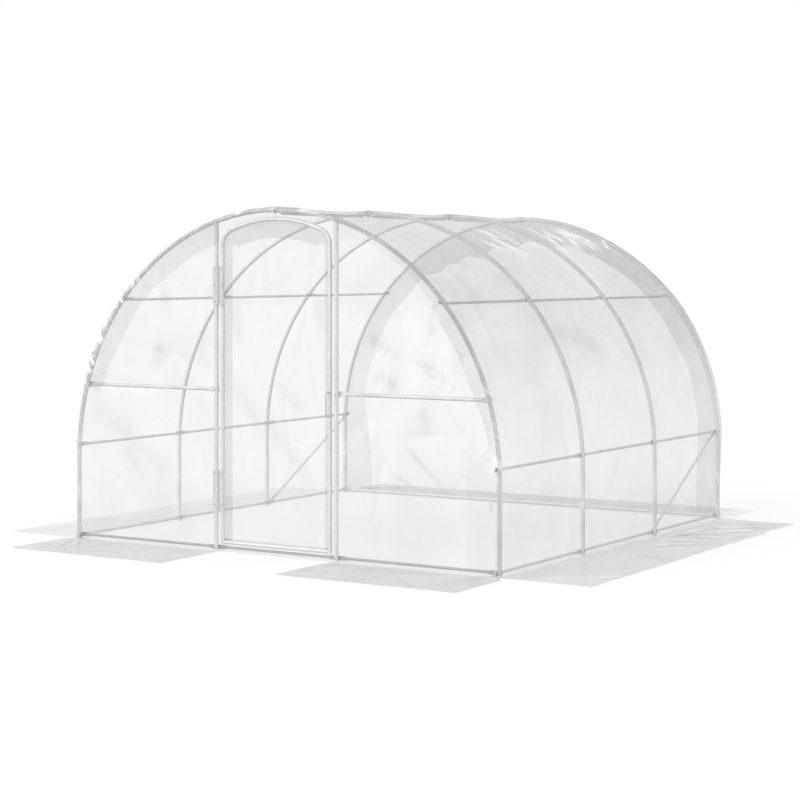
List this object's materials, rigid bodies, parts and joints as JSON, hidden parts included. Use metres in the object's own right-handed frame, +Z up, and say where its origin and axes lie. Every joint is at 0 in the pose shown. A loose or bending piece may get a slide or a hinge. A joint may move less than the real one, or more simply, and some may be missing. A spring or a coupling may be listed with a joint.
{
  "type": "polytunnel greenhouse",
  "caption": "Walk-in tunnel greenhouse: bolted round-hoop tube frame under clear film, loose film edges on the ground, hinged arched door in one end.",
  "frame": {"origin": "middle of the footprint, on the ground under the legs and the loose film edges", "axes": "+Z up from the ground, +X to the right of someone who faces the door from outside, +Y from the door end to the back end"},
  "size_m": [4.1, 4.08, 2.0198],
  "materials": {
    "galvanised_tube": "satin",
    "clear_film": "gloss",
    "hinge_steel": "satin"
  },
  "bodies": {
    "tunnel": {"hoop_1": "galvanised_tube", "hoop_2": "galvanised_tube", "hoop_3": "galvanised_tube", "hoop_4": "galvanised_tube", "base_rail_left": "galvanised_tube", "mid_rail_left": "galvanised_tube", "upper_rail_left": "galvanised_tube", "brace_left": "galvanised_tube", "front_base_rail_left": "galvanised_tube", "end_rail_left": "galvanised_tube", "door_post_left": "galvanised_tube", "wall_film_left": "clear_film", "lower_roof_film_left": "clear_film", "upper_roof_film_left": "clear_film", "front_film_left": "clear_film", "ground_film_left": "clear_film", "front_ground_film_left": "clear_film", "base_rail_right": "galvanised_tube", "mid_rail_right": "galvanised_tube", "upper_rail_right": "galvanised_tube", "brace_right": "galvanised_tube", "front_base_rail_right": "galvanised_tube", "end_rail_right": "galvanised_tube", "door_post_right": "galvanised_tube", "wall_film_right": "clear_film", "lower_roof_film_right": "clear_film", "upper_roof_film_right": "clear_film", "front_film_right": "clear_film", "ground_film_right": "clear_film", "front_ground_film_right": "clear_film", "ridge_rail": "galvanised_tube", "back_base_rail": "galvanised_tube", "door_sill": "galvanised_tube", "back_film": "clear_film", "back_ground_film": "clear_film", "hinge_leaves_post": "hinge_steel", "hinge_pins": "hinge_steel"},
    "door": {"door_frame": "galvanised_tube", "door_film": "clear_film", "door_handle": "hinge_steel", "hinge_leaves_door": "hinge_steel"}
  },
  "joints": [
    {"name": "door_hinge", "type": "hinge", "parent": "tunnel", "child": "door", "pos_m": [-0.404, -1.4971, 0], "axis": [0, 0, -1], "range_deg": [0, 150]}
  ]
}
